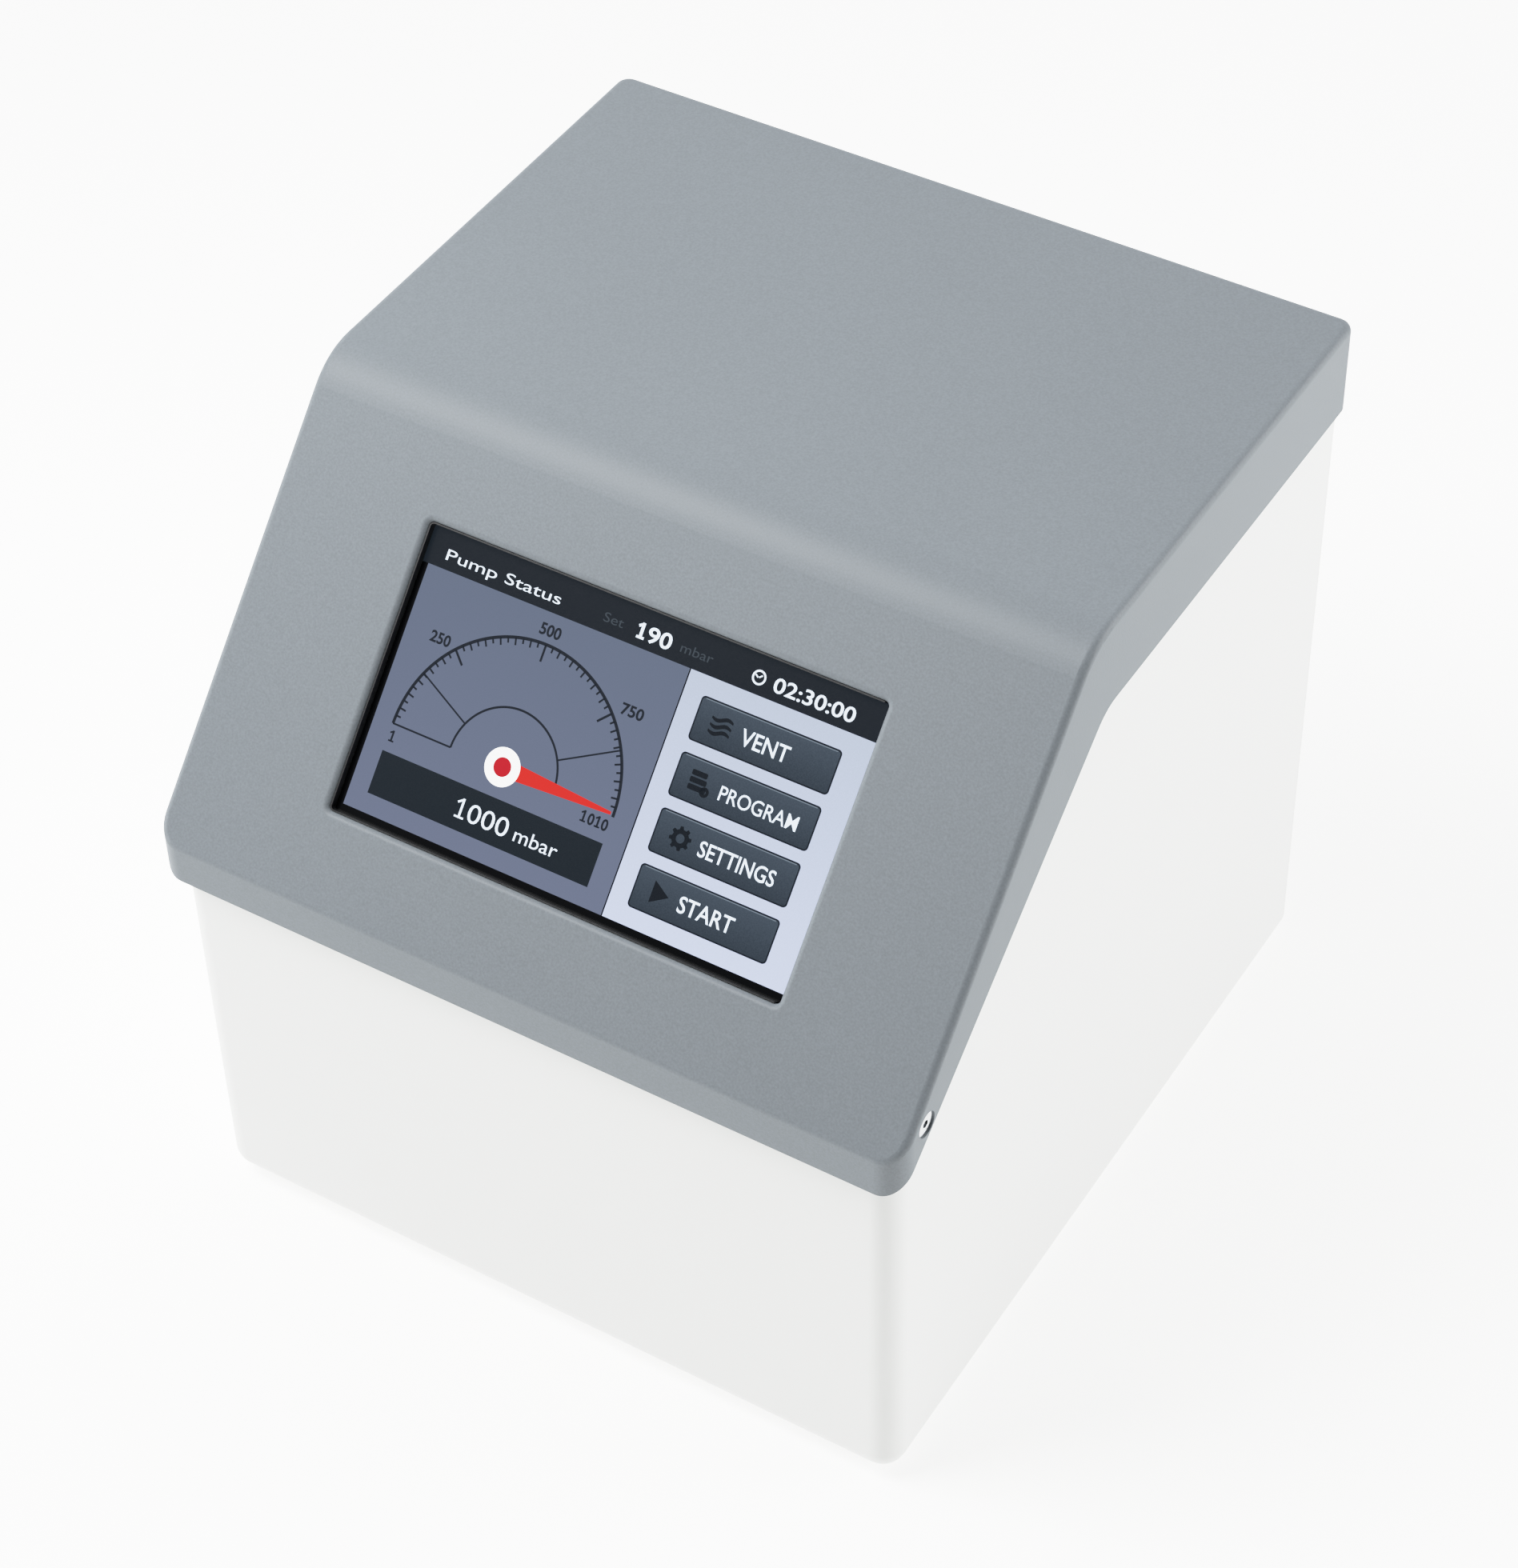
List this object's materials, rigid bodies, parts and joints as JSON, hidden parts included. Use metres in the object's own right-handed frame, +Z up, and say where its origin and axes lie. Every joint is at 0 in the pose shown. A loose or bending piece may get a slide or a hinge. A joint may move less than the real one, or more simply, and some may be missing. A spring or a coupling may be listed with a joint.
{
  "type": "benchtop vacuum pump with touch controller",
  "caption": "Benchtop diaphragm vacuum pump with a sloped touchscreen in a grey cover over a white body; rear hose nozzles, mains inlet and fan.",
  "frame": {"origin": "middle of the whole footprint, on the surface that the rubber feet stand on", "axes": "+X to the right as seen from the front, +Y to the rear, +Z up; the display faces -Y and up"},
  "size_m": [0.255, 0.295, 0.265],
  "materials": {
    "cover_grey": "fine textured powder coat",
    "body_white": "satin coat",
    "rubber_black": "matt",
    "screw_steel": "zinc plated",
    "screw_chrome": "polished",
    "display_glass": "polished",
    "black_plastic": "fine texture",
    "sheet_steel": "bright",
    "circuit_board": "solder mask",
    "sheet_aluminium": "milled",
    "cast_aluminium": "cast",
    "core_steel": "ground",
    "copper_wire": "enamelled",
    "pump_plastic": "moulded",
    "brass": "turned",
    "nozzle_plastic": "moulded",
    "tube_rubber": "matt",
    "fuse_glass": "clear",
    "rocker_plastic": "satin"
  },
  "bodies": {
    "root": {"top_cover": "cover_grey", "body_shell": "body_white", "rear_panel": "body_white", "rubber_feet": "rubber_black", "foot_screws": "screw_steel", "cover_side_screws": "screw_chrome", "cover_rear_screws": "screw_steel", "rear_panel_screws": "screw_steel", "display_gasket": "rubber_black", "touch_glass": "display_glass", "lcd_module": "black_plastic", "display_frame": "sheet_steel", "display_screws": "screw_steel", "display_board": "circuit_board", "chassis_plate": "sheet_aluminium", "chassis_screws": "screw_steel", "pump_mounts": "rubber_black", "motor_cradle": "sheet_aluminium", "motor_housing": "cast_aluminium", "motor_stator": "core_steel", "stator_windings": "copper_wire", "motor_bearings": "core_steel", "crankcase": "cast_aluminium", "crankcase_cover": "cast_aluminium", "diaphragm": "rubber_black", "valve_head": "pump_plastic", "valve_flaps": "rubber_black", "head_cover": "pump_plastic", "head_screws": "screw_steel", "manifold": "sheet_aluminium", "pressure_sensor": "core_steel", "vent_silencer": "brass", "vacuum_nozzle": "nozzle_plastic", "exhaust_nozzle": "nozzle_plastic", "suction_tube": "tube_rubber", "exhaust_tube": "tube_rubber", "vent_valve_body": "brass", "vent_valve_coil": "black_plastic", "vent_valve_spring": "screw_steel", "psu_board": "circuit_board", "fan_frame": "black_plastic", "fan_guard": "screw_chrome", "fan_screws": "screw_steel", "power_inlet": "black_plastic", "inlet_pins": "brass", "inlet_screws": "screw_steel", "switch_housing": "black_plastic", "lan_port": "sheet_steel", "accessory_sockets": "screw_chrome"},
    "power_rocker": {"power_rocker": "rocker_plastic"},
    "fuse_drawer": {"fuse_drawer": "black_plastic", "fuse_link": "fuse_glass"},
    "fan_rotor": {"fan_rotor": "black_plastic"},
    "crankshaft": {"motor_shaft": "core_steel", "motor_rotor": "core_steel", "eccentric": "core_steel"},
    "connecting_rod": {"connecting_rod": "cast_aluminium", "rod_bearing": "core_steel", "clamp_disc": "cast_aluminium"},
    "vent_plunger": {"vent_valve_plunger": "core_steel"}
  },
  "joints": [
    {"name": "rocker_tilt", "type": "hinge", "parent": "root", "child": "power_rocker", "pos_m": [0.038, 0.1165, 0.044], "axis": [1, 0, 0], "range_deg": [0, 16]},
    {"name": "fuse_drawer_slide", "type": "slide", "parent": "root", "child": "fuse_drawer", "axis": [0, 1, 0], "range_m": [0, 0.016]},
    {"name": "fan_spin", "type": "hinge", "parent": "root", "child": "fan_rotor", "pos_m": [-0.068, 0.1025, 0.12], "axis": [0, 1, 0], "continuous": true},
    {"name": "crank_spin", "type": "hinge", "parent": "root", "child": "crankshaft", "pos_m": [0, -0.0125, 0.08], "axis": [1, 0, 0], "continuous": true},
    {"name": "rod_orbit", "type": "hinge", "parent": "crankshaft", "child": "connecting_rod", "pos_m": [0.037, -0.0125, 0.077], "axis": [1, 0, 0], "continuous": true, "deforming": ["diaphragm"]},
    {"name": "vent_plunger_lift", "type": "slide", "parent": "root", "child": "vent_plunger", "axis": [0, 0, 1], "range_m": [0, 0.0015], "stiffness_N_per_m": 400, "springref_m": -0.003, "deforming": ["vent_valve_spring"]}
  ],
  "couplings": [
    {"joint": "rod_orbit", "follows": "crank_spin", "ratio": -1}
  ]
}
